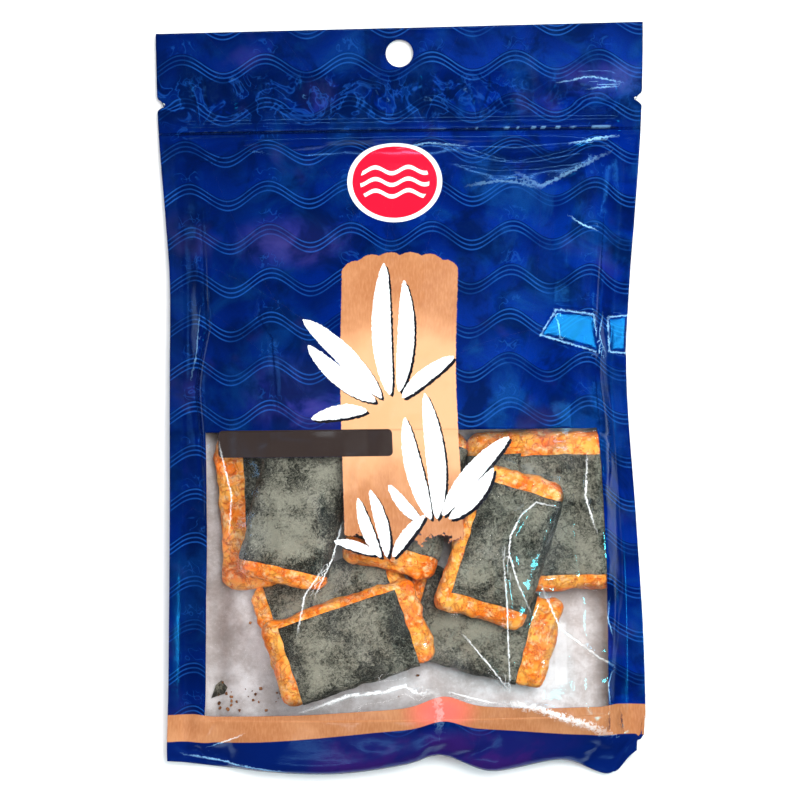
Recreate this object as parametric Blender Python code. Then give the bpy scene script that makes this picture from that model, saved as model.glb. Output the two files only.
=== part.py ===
"""A filled snack pouch lying on its back: one closed solid, front panel up, hanging end towards +Y.

Metres, +Z up. X runs across the pouch, Y along it, and the origin is under the middle of its box.
The front and the back panel are one grid of rows and columns, raised by two height functions.
A narrow wall closes the grid's rim, and along the bottom that wall folds inwards as the gusset.
"""

import math

import bmesh
import bpy

MM = 0.001

# Outline
LENGTH = 247.6 * MM
HEADER_WIDTH = 160.4 * MM
TOP_RISE = 1.8 * MM                 # the top edge stands this much higher at its right end
TOP_Y = LENGTH / 2 - TOP_RISE       # the top edge's left end
BOTTOM_Y = -LENGTH / 2 + 3.4 * MM   # the bottom edge's mean line
BOTTOM_EASE = 30 * MM               # rows this close to the bottom edge start to follow its waves

# Stations along the pouch from its top: y, left edge, right edge
SIDES = [(y * MM, left * MM, right * MM) for y, left, right in (
    (124, -80.2, 80.2),
    (96, -79.9, 79.4),
    (60, -77.6, 76.5),
    (38, -76.4, 74.4),
    (10, -76.8, 72.8),
    (-40, -77.4, 75.3),
    (-90, -78.5, 77.4),
    (-124, -79.6, 77.6),
)]

# Stations across the bottom edge: x, how far the edge lies above its mean line
HEM = [(x * MM, lift * MM) for x, lift in (
    (-80, 3.4),
    (-60, 0.9),
    (-27, -1.2),
    (0, 2.0),
    (9, 5.0),
    (27, -0.9),
    (50, 2.4),
    (62, -2.2),
    (66.5, -3.4),
    (68.5, -1.6),
    (76, 6.6),
    (80, 7.4),
)]

# Hanging hole, tear notches and closure
HOLE_RADIUS = 4.5 * MM
HOLE_DROP = 8.4 * MM                # from the top edge down to the hole's centre
HOLE_Y = LENGTH / 2 - TOP_RISE / 2 - HOLE_DROP
HOLE_SIDES = 16
HOLE_FRAME = 6.4 * MM               # half the height of the patch of film that holds the hole
NOTCH_Y = 98.7 * MM
NOTCH_DEPTH = 1.8 * MM
NOTCH_HALF_WIDTH = 1.0 * MM
ZIP_LINES = (91.4 * MM, 88.8 * MM)
ZIP_HEIGHT = 1.0 * MM
ZIP_HALF_WIDTH = 0.9 * MM
ZIP_FADE = 0.15                     # the ridges reach their height at this fullness

# Film and seals
FLANGE = 0.5 * MM                   # two panels sealed together
SEAL_WIDTH = 5.5 * MM
CRIMP_Y = (95 * MM, 109 * MM)       # the wrinkled seal between the header and the closure
CRIMP_EASE = 5 * MM
CRIMP_HEIGHT = 0.5 * MM
CRIMP_PITCH = 11 * MM
CRIMP_DRIFT = 2.2                   # makes the crimps uneven

# Stations along the pouch: y, thickness of the filled middle, height of the side seals
BODY = [(y * MM, thick * MM, seal * MM) for y, thick, seal in (
    (124, 0.0, 2.2),
    (94, 0.0, 2.2),
    (80, 6.5, 3.0),
    (50, 14.5, 4.5),
    (15, 20.0, 6.5),
    (-15, 22.3, 8.0),
    (-60, 23.5, 9.0),
    (-95, 20.5, 8.0),
    (-124, 11.0, 5.0),
)]
PILLOW_FLATNESS = 2.6               # shape of the cross-section: higher is flatter in the middle
PILLOW_SHOULDER = 0.75              # lower is steeper at the side seals
LIFT_START = 0.74                   # of the half width: outside this the back panel leaves the ground
HEADER_LIFT = (66 * MM, 96 * MM)    # the back panel rises from the ground to the header along this run
SKIRT = 16 * MM                     # sealed corners beside the gusset
GUSSET_DEPTH = 7 * MM
GUSSET_GAP = 10 * MM                # the fold is at its full depth where the panels are this far apart

# Crackers under the front panel, all of one size: centre x, centre y, turn in degrees, rise of the film
CRACKER = (50 * MM, 31 * MM)
CRACKERS = [(x * MM, y * MM, math.radians(turn), rise * MM) for x, y, turn, rise in (
    (-35.4, -34.3, 77, 2.2),
    (-47, -36, 92, 1.0),
    (0, -31.5, 74, 1.2),
    (29.8, -47.6, 72, 2.8),
    (51, -37, 91, 1.2),
    (24, -74.5, -15.5, 1.2),
    (-19.7, -78, 17.5, 2.6),
)]
CRACKER_EDGE = 7 * MM               # over this the film falls from a cracker's top

COLUMNS = 42                        # across, with one in each side seal
ROW_PITCH = 4.2 * MM

FILM_BLUE = (0.010, 0.035, 0.200, 1.0)
FILM_ROUGHNESS = 0.25


def ease(start, end, value):
    """A smooth step from 0 at start to 1 at end."""
    t = min(max((value - start) / (end - start), 0.0), 1.0)
    return t * t * (3 - 2 * t)


def along(stations, place, column):
    """A column of the stations, read at a place between them by a smooth curve with no overshoot."""
    ordered = sorted(stations)
    place = min(max(place, ordered[0][0]), ordered[-1][0])
    slopes = [
        (b[column] - a[column]) / (b[0] - a[0])
        for a, b in zip(ordered, ordered[1:])
    ]
    tangents = [0.0]
    for before, after in zip(slopes, slopes[1:]):
        agree = before * after > 0
        tangents.append(2 * before * after / (before + after) if agree else 0.0)
    tangents.append(0.0)
    for i, (a, b) in enumerate(zip(ordered, ordered[1:])):
        if place <= b[0]:
            run = b[0] - a[0]
            t = (place - a[0]) / run
            return (
                (1 + 2 * t) * (1 - t) ** 2 * a[column]
                + t * (1 - t) ** 2 * run * tangents[i]
                + t * t * (3 - 2 * t) * b[column]
                - t * t * (1 - t) * run * tangents[i + 1]
            )
    return ordered[-1][column]


def edges(y):
    """The outline's left and right edge at a height."""
    return along(SIDES, y, 1), along(SIDES, y, 2)


def fullness(x, y):
    """1 in the middle of the pouch, falling to 0 at the side seals."""
    left, right = edges(y)
    middle = (left + right) / 2
    reach = (right - left) / 2 - SEAL_WIDTH
    share = min(abs(x - middle) / reach, 1.0)
    return (1 - share ** PILLOW_FLATNESS) ** PILLOW_SHOULDER


def cracker_rise(x, y):
    """How far the crackers push the front panel up beyond its pillow shape."""
    rise = 0.0
    for centre_x, centre_y, turn, height in CRACKERS:
        dx = x - centre_x
        dy = y - centre_y
        lengthways = abs(dx * math.cos(turn) + dy * math.sin(turn))
        crossways = abs(dy * math.cos(turn) - dx * math.sin(turn))
        plateau = 1.0
        for offset, size in ((lengthways, CRACKER[0]), (crossways, CRACKER[1])):
            plateau *= 1 - ease(size / 2 - CRACKER_EDGE / 2, size / 2 + CRACKER_EDGE / 2, offset)
        rise = max(rise, height * plateau)
    return rise


def back_height(x, y):
    """The back panel: flat on the ground, lifted towards the side seals, the header and the skirts."""
    left, right = edges(y)
    share = abs(x - (left + right) / 2) / ((right - left) / 2)
    seal = along(BODY, y, 2)
    side = ease(LIFT_START, 1 - 2 * SEAL_WIDTH / (right - left), share)
    header = ease(HEADER_LIFT[0], HEADER_LIFT[1], y)
    height = seal * max(side, header)
    crimp_start = ease(CRIMP_Y[0] - CRIMP_EASE, CRIMP_Y[0], y)
    crimp_end = 1 - ease(CRIMP_Y[1] - CRIMP_EASE, CRIMP_Y[1], y)
    wave = math.sin(2 * math.pi * x / CRIMP_PITCH + CRIMP_DRIFT * math.sin(x / CRIMP_PITCH))
    return height + CRIMP_HEIGHT * crimp_start * crimp_end * wave


def front_height(x, y):
    """The front panel: the filled thickness over the back panel, with the crackers and the closure."""
    full = fullness(x, y)
    near_end = ease(BOTTOM_Y + SKIRT, BOTTOM_Y, y)
    skirt = 1 - near_end * ease(HEADER_WIDTH / 2 - 2 * SKIRT, HEADER_WIDTH / 2 - SKIRT / 2, abs(x))
    filled = (along(BODY, y, 1) + cracker_rise(x, y)) * full * skirt
    ridge = max(1 - abs(y - line) / ZIP_HALF_WIDTH for line in ZIP_LINES)
    closure = ZIP_HEIGHT * max(ridge, 0.0) * ease(0, ZIP_FADE, full)
    return back_height(x, y) + FLANGE + filled + closure


def row_heights():
    """The grid's rows from the bottom edge up: even, but placed on the closure, notches and hole."""
    fixed = [BOTTOM_Y]
    for line in sorted(ZIP_LINES):
        fixed += [line - ZIP_HALF_WIDTH, line, line + ZIP_HALF_WIDTH]
    fixed += [NOTCH_Y - NOTCH_HALF_WIDTH, NOTCH_Y, NOTCH_Y + NOTCH_HALF_WIDTH]
    fixed += [HOLE_Y + HOLE_FRAME * step / 2 for step in (-2, -1, 0, 1, 2)]
    fixed += [TOP_Y]
    rows = [fixed[0]]
    for place in fixed[1:]:
        steps = max(round((place - rows[-1]) / ROW_PITCH), 1)
        start = rows[-1]
        rows += [start + (place - start) * step / steps for step in range(1, steps + 1)]
    return rows


def grid_point(column, y, is_bottom, is_top):
    """A grid vertex in plan: straight rows that bend to the bottom edge and to the top edge."""
    left, right = edges(y)
    if column in (0, COLUMNS):
        x = left if column == 0 else right
        if abs(y - NOTCH_Y) < 0.01 * MM:
            x += NOTCH_DEPTH if column == 0 else -NOTCH_DEPTH
    else:
        inner_left = left + SEAL_WIDTH
        inner_right = right - SEAL_WIDTH
        x = inner_left + (inner_right - inner_left) * (column - 1) / (COLUMNS - 2)
    follow = 1.0 if is_bottom else 1 - ease(BOTTOM_Y, BOTTOM_Y + BOTTOM_EASE, y)
    y += along(HEM, x, 1) * follow
    if is_top:
        y += TOP_RISE * (x - left) / (right - left)
    return x, y


def hole_points():
    """The hanging hole's vertices in plan, counter-clockwise from its lower left."""
    first = math.radians(225)
    step = math.radians(360) / HOLE_SIDES
    angles = [first + step * k for k in range(HOLE_SIDES)]
    return [(HOLE_RADIUS * math.cos(a), HOLE_Y + HOLE_RADIUS * math.sin(a)) for a in angles]


def build_pouch():
    """The pouch's mesh: front and back grid, the rim's wall with the gusset, and the hole's wall."""
    mesh = bmesh.new()
    rows = row_heights()
    last_row = len(rows) - 1
    plan = {}
    for j, y in enumerate(rows):
        for i in range(COLUMNS + 1):
            plan[i, j] = grid_point(i, y, j == 0, j == last_row)

    middle = COLUMNS // 2
    hole_row = min(range(len(rows)), key=lambda j: abs(rows[j] - HOLE_Y))
    ring = (
        [(middle + i, hole_row - 2) for i in (-2, -1, 0, 1)]
        + [(middle + 2, hole_row + j) for j in (-2, -1, 0, 1)]
        + [(middle + i, hole_row + 2) for i in (2, 1, 0, -1)]
        + [(middle - 2, hole_row + j) for j in (2, 1, 0, -1)]
    )
    inside = {(middle + i, hole_row + j) for i in (-1, 0, 1) for j in (-1, 0, 1)}
    hole = hole_points()

    def vertex(point, height):
        return mesh.verts.new((point[0], point[1], height(*point)))

    sheets = []
    for height in (front_height, back_height):
        grid = {key: vertex(point, height) for key, point in plan.items() if key not in inside}
        circle = [vertex(point, height) for point in hole]
        sheets.append((grid, circle))

    for is_back, (grid, circle) in enumerate(sheets):
        faces = []
        for j in range(last_row):
            for i in range(COLUMNS):
                corners = [(i, j), (i + 1, j), (i + 1, j + 1), (i, j + 1)]
                if all(key in grid for key in corners):
                    faces.append([grid[key] for key in corners])
        for k, key in enumerate(ring):
            after = (k + 1) % HOLE_SIDES
            faces.append([grid[key], grid[ring[after]], circle[after], circle[k]])
        for face in faces:
            mesh.faces.new(face[::-1] if is_back else face)

    add_walls(mesh, sheets, last_row)
    return mesh


def add_walls(mesh, sheets, last_row):
    """The wall round the rim, folded inwards along the bottom, and the wall inside the hole."""
    (front, front_circle), (back, back_circle) = sheets
    rim = (
        [(i, 0) for i in range(COLUMNS)]
        + [(COLUMNS, j) for j in range(last_row)]
        + [(i, last_row) for i in range(COLUMNS, 0, -1)]
        + [(0, j) for j in range(last_row, 0, -1)]
    )
    fold = []
    for i, j in rim:
        point = (front[i, j].co + back[i, j].co) / 2
        if j == 0:
            gap = front[i, j].co.z - back[i, j].co.z - FLANGE
            point.y += GUSSET_DEPTH * ease(0, GUSSET_GAP, gap)
        fold.append(mesh.verts.new(point))
    for k, key in enumerate(rim):
        after = (k + 1) % len(rim)
        following = rim[after]
        mesh.faces.new((front[following], front[key], fold[k], fold[after]))
        mesh.faces.new((fold[after], fold[k], back[key], back[following]))
    for k in range(HOLE_SIDES):
        after = (k + 1) % HOLE_SIDES
        mesh.faces.new((front_circle[k], front_circle[after], back_circle[after], back_circle[k]))


def film_material():
    """The printed film's blue, glossy and not metallic."""
    material = bpy.data.materials.new("printed_film")
    material.use_nodes = True
    shader = material.node_tree.nodes["Principled BSDF"]
    shader.inputs["Base Color"].default_value = FILM_BLUE
    shader.inputs["Roughness"].default_value = FILM_ROUGHNESS
    shader.inputs["Metallic"].default_value = 0.0
    return material


def main():
    for old in list(bpy.data.objects):
        bpy.data.objects.remove(old, do_unlink=True)
    shape = build_pouch()
    bmesh.ops.triangulate(shape, faces=shape.faces[:])
    data = bpy.data.meshes.new("pouch")
    shape.to_mesh(data)
    shape.free()
    data.shade_smooth()
    data.set_sharp_from_angle(angle=math.radians(40))
    data.materials.append(film_material())
    pouch = bpy.data.objects.new("pouch", data)
    bpy.context.collection.objects.link(pouch)


main()
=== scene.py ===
"""A snack pouch of printed film with a clear window, lying on its back, filled with rice crackers.

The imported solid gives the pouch's outline, thickness and ground. Its film is two flat sheets, sealed
at the sides and the header, that a small cloth solver drapes over the crackers and fills with gas.
Working lengths are in millimetres, and meshes are made in metres.
"""

import math

import bpy
import numpy as np
from mathutils import Euler, Matrix, Vector
from mathutils.bvhtree import BVHTree


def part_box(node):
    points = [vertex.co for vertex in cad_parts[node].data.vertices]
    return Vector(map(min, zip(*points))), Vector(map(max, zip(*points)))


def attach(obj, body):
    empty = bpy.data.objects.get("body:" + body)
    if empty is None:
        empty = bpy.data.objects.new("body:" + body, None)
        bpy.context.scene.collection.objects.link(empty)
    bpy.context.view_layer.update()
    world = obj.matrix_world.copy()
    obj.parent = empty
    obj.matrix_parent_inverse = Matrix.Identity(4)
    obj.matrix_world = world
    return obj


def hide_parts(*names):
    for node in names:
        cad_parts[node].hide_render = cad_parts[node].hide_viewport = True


MM = 0.001

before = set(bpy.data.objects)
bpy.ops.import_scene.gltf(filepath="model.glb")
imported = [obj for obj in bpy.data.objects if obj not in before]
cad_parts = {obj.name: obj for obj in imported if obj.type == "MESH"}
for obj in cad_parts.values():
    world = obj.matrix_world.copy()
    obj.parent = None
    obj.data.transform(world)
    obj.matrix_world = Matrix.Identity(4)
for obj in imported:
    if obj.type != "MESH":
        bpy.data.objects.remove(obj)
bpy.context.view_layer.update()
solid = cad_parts["pouch"]
LOW, HIGH = [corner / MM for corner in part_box("pouch")]

# Film, in the flat: u runs across it and v along it, in millimetres, as they do in the frame
FILM_WIDTH = 160.0
COARSE_COLUMNS = 50                 # 3.2 mm apart, then halved for each finer grid
SEAL = 5.5
FILM_SLACK = 1.008                  # film length for each length of the solid's surface
FILM_ROOM = 1.5                     # how far the film may rise over the solid
GAS = 0.012
FILM_THICKNESS = 0.12
HEADER_V = 95.0                     # above this the two sheets are sealed flat
ZIP_V = (91.4, 88.8)
ZIP_HEIGHT = 0.8
HOLE_RADIUS = 4.5
HOLE_DROP = 8.4
NOTCH_V = 98.7
NOTCH_DEPTH = 1.8
WINDOW_U = (-67.2, 67.2)
WINDOW_V = (-102.4, -9.6)
GUSSET_DEPTH = 7.0

# Crackers: x, y, height of the middle, length, width, turn, pitch (far end up), roll (left side up),
# and how far the nori stays from the near end, the far end, the right side and the left side.
# No distance means that it wraps over that side.
THICKNESS = 9.0
CRACKERS = {
    "under_left": (-46.5, -35.5, 6.5, 50, 30, 92, 0, 4, 5, 5, 0, 9),
    "under_low_left": (-23.4, -68.4, 6.4, 50, 30, 19, 0, 0, 5, 5, 0, 0),
    "under_right": (36.0, -35.5, 6.0, 51, 30, 92, 0, 0, 5, 8, 0, 0),
    "low_right": (23.6, -74.3, 6.6, 51, 30, -15.5, 4, 0, 5, 9, 0, 0),
    "middle": (0.0, -31.5, 10.0, 50, 31, 74, -9, 0, 7.5, 5, 0, 0),
    "right": (51.5, -36.5, 9.6, 52, 31, 91, 0, 12, 5, 8, 0, 0),
    "left": (-35.4, -34.3, 15.4, 50, 29, 77, -2, 2, 5.5, 5, 0, 0),
    "low_left": (-19.5, -78.2, 15.2, 52, 29, 17.5, 0, -3, 5.7, 6, 0, 2.5),
    "top_right": (30.0, -47.6, 18.2, 50, 30.5, 72, 2, -5, 7, 5, 0, 3.9),
}


# ---------------------------------------------------------------- helpers

def ease(start, end, value):
    """A smooth step from 0 at start to 1 at end."""
    t = np.clip((np.asarray(value, float) - start) / (end - start), 0, 1)
    return t * t * (3 - 2 * t)


LATTICE = np.random.default_rng(7).random((32, 32, 32)) * 2 - 1


def lumps(points, size, shift=0.0):
    """Smooth noise from -1 to 1 at each point, with features about as long as size."""
    p = np.asarray(points, float) / size + shift
    cell = np.floor(p).astype(int)
    t = p - cell
    t = t * t * (3 - 2 * t)
    total = np.zeros(len(p))
    for i in (0, 1):
        for j in (0, 1):
            for k in (0, 1):
                weight = (
                    np.abs(1 - i - t[:, 0]) * np.abs(1 - j - t[:, 1]) * np.abs(1 - k - t[:, 2])
                )
                corner = (cell + (i, j, k)) % 32
                total += weight * LATTICE[corner[:, 0], corner[:, 1], corner[:, 2]]
    return total


def make_piece(name, points, faces, materials, smooth=True):
    """A mesh piece from points in millimetres, which rides with the pouch."""
    mesh = bpy.data.meshes.new(name)
    mesh.from_pydata((np.asarray(points) * MM).tolist(), [], [list(map(int, f)) for f in faces])
    mesh.polygons.foreach_set("use_smooth", [smooth] * len(mesh.polygons))
    for material in materials:
        mesh.materials.append(material)
    piece = bpy.data.objects.new(name, mesh)
    bpy.context.scene.collection.objects.link(piece)
    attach(piece, "root")
    return piece


def add_map(piece, name, flat):
    """Stores two values for each point, in millimetres, as the UV map that its material reads."""
    layer = piece.data.uv_layers.new(name=name)
    corners = np.zeros(len(piece.data.loops), int)
    piece.data.loops.foreach_get("vertex_index", corners)
    layer.uv.foreach_set("vector", np.asarray(flat, float)[corners].ravel())


# ---------------------------------------------------------------- materials

class Net:
    """Builds one material's nodes. Values are numbers, colours or sockets."""

    def __init__(self, name):
        self.material = bpy.data.materials.new(name)
        self.material.use_nodes = True
        self.tree = self.material.node_tree
        self.tree.nodes.clear()
        self.out = self.tree.nodes.new("ShaderNodeOutputMaterial")

    def node(self, kind, **settings):
        made = self.tree.nodes.new("ShaderNode" + kind)
        for key, value in settings.items():
            setattr(made, key, value)
        return made

    def feed(self, socket, value):
        if isinstance(value, bpy.types.NodeSocket):
            self.tree.links.new(value, socket)
        elif value is not None:
            socket.default_value = value

    def math(self, operation, a, b=None, c=None):
        made = self.node("Math", operation=operation)
        for socket, value in zip(made.inputs, (a, b, c)):
            self.feed(socket, value)
        return made.outputs[0]

    def step(self, value, start, end, low=0.0, high=1.0):
        made = self.node("MapRange", interpolation_type="SMOOTHSTEP")
        for socket, given in zip(made.inputs, (value, start, end, low, high)):
            self.feed(socket, given)
        return made.outputs[0]

    def band(self, value, low, high, soft):
        """1 between low and high, with soft edges."""
        rise = self.step(value, low - soft, low + soft)
        fall = self.step(value, high - soft, high + soft, 1.0, 0.0)
        return self.math("MULTIPLY", rise, fall)

    def mix(self, share, a, b):
        made = self.node("Mix", data_type="RGBA")
        self.feed(made.inputs[0], share)
        self.feed(made.inputs[6], a)
        self.feed(made.inputs[7], b)
        return made.outputs[2]

    def vector(self, operation, a, b=None):
        made = self.node("VectorMath", operation=operation)
        self.feed(made.inputs[0], a)
        self.feed(made.inputs[1], b)
        return made.outputs["Value" if operation in ("LENGTH", "DISTANCE") else "Vector"]

    def dot(self, a, b):
        made = self.node("VectorMath", operation="DOT_PRODUCT")
        self.feed(made.inputs[0], a)
        self.feed(made.inputs[1], b)
        return made.outputs["Value"]

    def noise(self, vector, scale, detail=2.0, roughness=0.5, distortion=0.0, colour=False):
        made = self.node("TexNoise")
        self.feed(made.inputs["Vector"], vector)
        made.inputs["Scale"].default_value = scale
        made.inputs["Detail"].default_value = detail
        made.inputs["Roughness"].default_value = roughness
        made.inputs["Distortion"].default_value = distortion
        return made.outputs["Color" if colour else 0]

    def bump(self, height, strength, distance, normal=None):
        made = self.node("Bump")
        made.inputs["Strength"].default_value = strength
        made.inputs["Distance"].default_value = distance
        self.feed(made.inputs["Height"], height)
        if normal:
            self.feed(made.inputs["Normal"], normal)
        return made.outputs[0]

    def shader(self, colour, roughness, normal=None, **settings):
        made = self.node("BsdfPrincipled")
        self.feed(made.inputs["Base Color"], colour)
        self.feed(made.inputs["Roughness"], roughness)
        if normal:
            self.feed(made.inputs["Normal"], normal)
        for key, value in settings.items():
            made.inputs[key.replace("_", " ")].default_value = value
        return made.outputs[0]

    def finish(self, surface):
        self.tree.links.new(surface, self.out.inputs["Surface"])
        return self.material


def grey(value):
    return (value, value, value, 1.0)


BLUE_DEEP = (0.0004, 0.0065, 0.082, 1.0)
BLUE_MID = (0.0004, 0.0140, 0.180, 1.0)
BLUE_NIGHT = (0.0004, 0.0045, 0.038, 1.0)
# Painted teal sheen on the blue
BLUE_TEAL_SHEEN = (0.0022, 0.0340, 0.165, 1.0)
BLUE_LINE = (0.010, 0.080, 0.360, 1.0)
# Painted violet sheen on the blue
VIOLET_SHEEN = (0.036, 0.024, 0.085, 1.0)
HEM_BLUE = (0.0012, 0.0090, 0.090, 1.0)
# Painted violet reflection on the hem
HEM_VIOLET_REFLECTION = (0.022, 0.008, 0.095, 1.0)
# Painted highlight colour for the film's ridges
CREASE_HIGHLIGHT = (0.28, 0.57, 0.90, 1.0)
ROSE = (0.78, 0.13, 0.11, 1.0)
WHITE_INK = (0.86, 0.86, 0.86, 1.0)
DARK_INK = (0.010, 0.010, 0.014, 1.0)
LABEL_INK = (0.029, 0.020, 0.018, 1.0)
SEAL_RED = (0.80, 0.008, 0.030, 1.0)
PAPER_DARK = (0.38, 0.145, 0.058, 1.0)
PAPER_LIGHT = (0.68, 0.34, 0.17, 1.0)

WAVE_PITCH = 14.25
WAVE_PERIOD = 27.4
WAVE_HEIGHT = 3.1
WAVE_CREST = (38.0, 72.6)
LINE_GAP = 1.5
EMBLEM = (-1.8, 71.0, 15.8, 13.2)    # middle, half width and half height
BANNER_U = (-20.0, 19.7)
BANNER_V = (-44.0, 47.5)
LABEL = ((-62.5, -2.8), (-17.6, -8.9))
BAND_V = (-110.8, -101.8)            # at its left end
BAND_PEAK = 12.0                     # where the band rises most
ZIP_ENDS = 74.0

# Brushed leaves in three sprays: root x, root y, lean, length, half width and bend of each leaf
LEAVES = (
    (-8, 0, 152, 29, 3.0, 0.006), (-6, 1, 128, 37, 3.3, -0.004), (-3, 2, 103, 42, 3.4, 0.004),
    (0, 3, 76, 35, 3.0, -0.006), (1, 1, 46, 22, 2.4, 0.008), (-11, -3, 176, 19, 2.3, -0.010),
    (9, -38, 112, 33, 3.0, 0.005), (11, -38, 84, 40, 3.3, -0.004), (13, -37, 58, 34, 3.0, 0.006),
    (15, -38, 33, 22, 2.4, -0.010), (6, -39, 141, 16, 2.0, 0.010),
    (-8, -50, 122, 20, 2.1, 0.010), (-6, -50, 93, 22, 2.2, -0.008), (-4, -50, 62, 17, 1.9, 0.012),
    (-10, -49, 152, 14, 1.7, -0.012),
)

# Spots of painted violet sheen on the blue: middle and reach of each
VIOLET_SHEEN_SPOTS = (((-33, 2), (24, 17)), ((-36, 52), (26, 11)), ((67, 105), (22, 8)), ((-27, 101), (9, 7)))

# Creases in the film: points along each, its height (below zero for a valley) and its half width
CREASES = (
    (((21, 82), (29, 80), (38, 78), (48, 79.5), (59, 82), (71, 84.5)), -2.0, 2.0),
    (((15, 78), (31.5, 74.7), (46.4, 75.3), (61.3, 77.6)), -1.2, 1.4),
    (((39, 73.7), (47, 69), (57, 74), (70, 81)), 0.7, 1.6),
    (((22.6, 69.4), (32.5, 71), (39, 70.5), (47, 68.4)), 0.4, 1.2),
    (((56, 83.5), (65, 85.5), (72, 86.3)), 1.2, 1.0),
    (((-71, 83), (-66, 79.5), (-61, 79), (-57, 82)), -1.4, 1.2),
    (((-37, 83), (-25, 83.6)), -1.0, 1.0),
    (((0.3, 82.2), (9.6, 84.1), (22.8, 82.6)), 0.8, 1.0),
    (((-67, 66), (-67.5, 37), (-66.4, 24), (-70, 12), (-71.6, 5), (-69.5, -12), (-68.4, -40)), -2.4, 0.9),
    (((-69.4, 30), (-71, 16), (-73, 9)), 0.4, 0.8),
    (((-68, -50), (-64, -59), (-63, -65)), -1.3, 1.0),
    (((-47, 39), (-48.3, 27.4), (-43.7, 20.8), (-42.5, 8), (-41.7, -5.6)), -1.3, 1.1),
    (((69, 62), (69.6, 40), (69.4, 8)), -1.1, 0.9),
    (((53.6, 28), (55.2, 24), (56.0, 20)), 0.7, 0.6),
    (((68.5, 8), (68.5, -10)), -0.9, 0.8),
    (((58, 59), (62, 56.5), (66.5, 55)), 0.8, 0.7),
    (((71.5, 27), (70.1, 20.8), (73, 15.2)), 0.7, 0.8),
    (((62.6, -18.7), (61.1, -31.8), (63.9, -42.4)), 1.1, 0.9),
    (((51, -35), (44, -33.3), (39, -37), (35.2, -43.7), (34.5, -49.3), (37.3, -59.6), (41, -68)), 1.0, 0.8),
    (((32.5, -49), (33.3, -66), (33.4, -79), (33.9, -93.5)), 1.1, 0.7),
    (((18.9, -75.5), (27, -85.2), (32.9, -92.8)), 1.0, 0.7),
    (((-30, -62), (-24, -50), (-21, -40)), 0.9, 0.8),
    (((-36, -74), (-33.5, -62), (-27, -53)), 0.8, 0.8),
    (((-62, -14), (-58, -30), (-59, -42)), 0.8, 0.8),
    (((45.2, -60.7), (51, -74.3), (64, -84), (69, -87)), 1.5, 1.0),
    (((-33.5, -99.5), (-19.3, -94.4), (-7.7, -93.3), (-0.8, -91.4), (3.8, -94.1), (9.1, -93.8)), 2.0, 1.5),
    (((32.8, -97.6), (43.3, -99.8), (54.8, -104.2), (67, -108.6)), 3.4, 3.0),
    (((13.5, -93.6), (22, -96.0), (30, -97.8)), 0.7, 0.7),
    (((9.1, -92), (10.7, -100.4), (10.6, -107)), 1.0, 3.4),
    (((-65, -112.3), (-54.8, -107.8)), 1.2, 0.7),
    (((-74, -117.0), (-58, -118.2), (-40, -119.6)), 0.9, 0.9),
    (((67.9, -66.6), (67.2, -71.5), (68.8, -76.5)), 0.7, 0.7),
    (((68.9, -89), (67.2, -93), (67.8, -99.6)), 0.7, 0.7),
    (((67.4, -103), (67.6, -111)), -0.9, 0.8),
    (((72, -103), (72.6, -110)), -0.9, 0.8),
    (((52.8, 104.2), (62.7, 105.9), (72.6, 104)), 0.7, 0.8),
    (((63, 102), (71.5, 102.6)), 0.6, 0.7),
)

# Flat facets pressed into the film: the corners of each, in turn, and which way and how steeply
# they fall, in degrees
FACETS = (
    ((49.0, 20.8), (54.0, 29.0), (67.3, 27.4), (70.6, 14.8)),
    ((73.4, 26.6), (82.0, 27.4), (82.0, 14.8), (74.6, 15.2)),
)
FACET_FALL = (-20.0, 21.0)


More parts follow.
